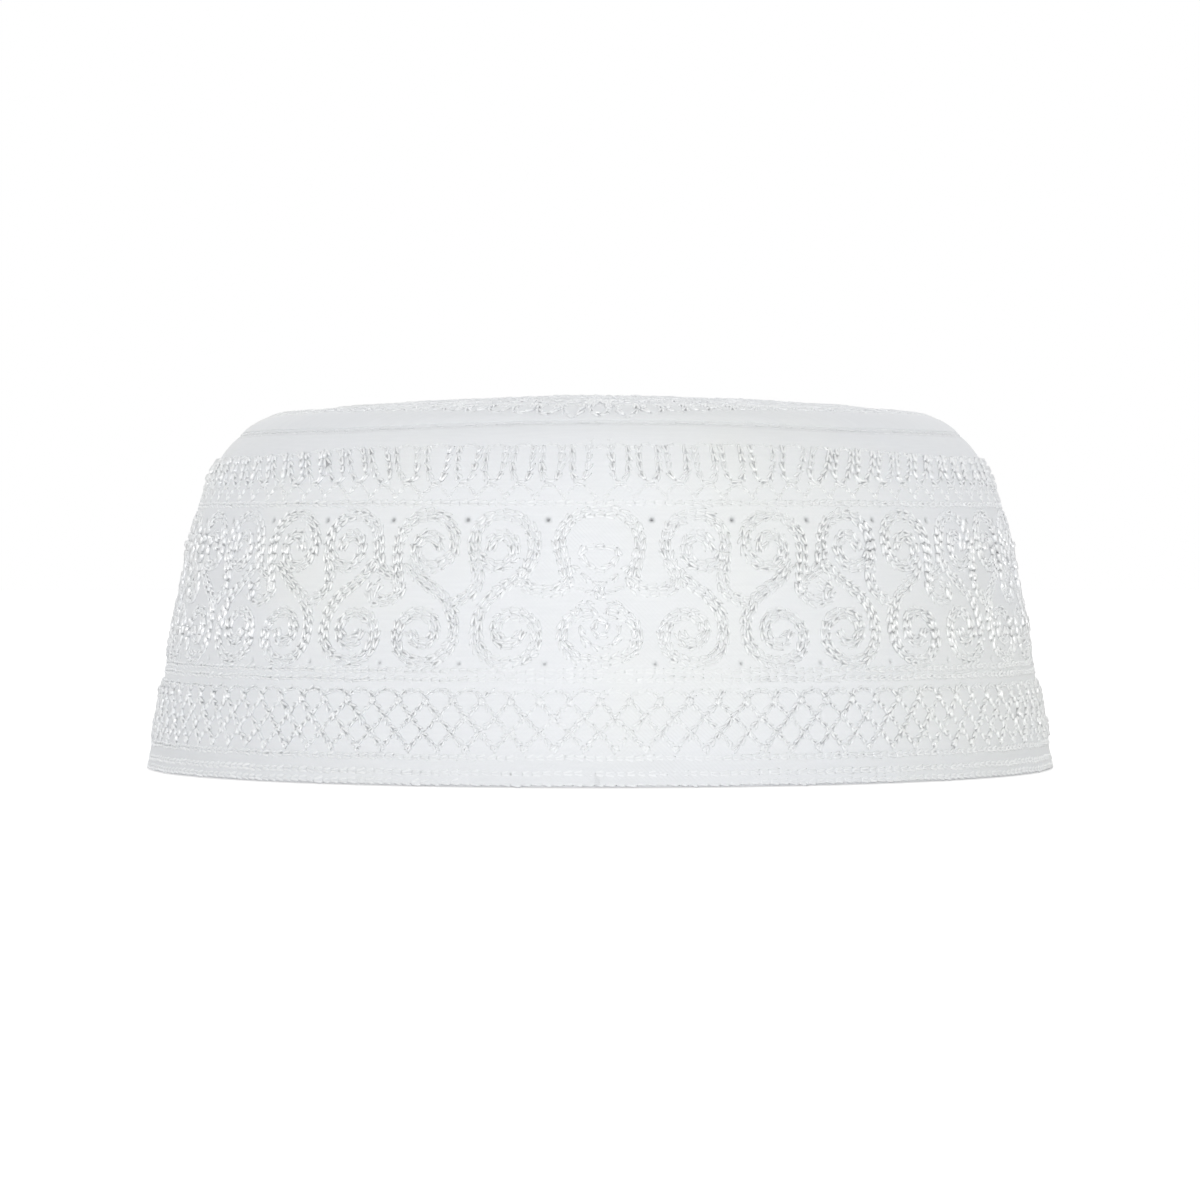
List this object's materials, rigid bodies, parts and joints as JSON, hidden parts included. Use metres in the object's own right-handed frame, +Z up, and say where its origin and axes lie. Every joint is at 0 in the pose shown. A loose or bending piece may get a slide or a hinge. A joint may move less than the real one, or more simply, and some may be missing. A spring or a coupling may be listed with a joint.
{
  "type": "kufi",
  "caption": "Round brimless embroidered cotton cap: a leaning side band with pierced eyelets, a shallow domed crown sewn to it and a rolled hem; worn on the head.",
  "frame": {"origin": "centre of the head opening, on the surface that the hem rests on", "axes": "+Z up along the cap's axis, -Y towards the middle of the front, +X towards the wearer's left"},
  "size_m": [0.1878, 0.1878, 0.0769],
  "materials": {
    "cotton_cloth": "matt white plain-woven cotton",
    "embroidery_thread": "white embroidery thread in chain stitch, with a soft silky sheen"
  },
  "bodies": {
    "root": {"side_band": "cotton_cloth", "crown": "cotton_cloth", "crown_seam": "cotton_cloth", "hem": "embroidery_thread"}
  },
  "joints": []
}
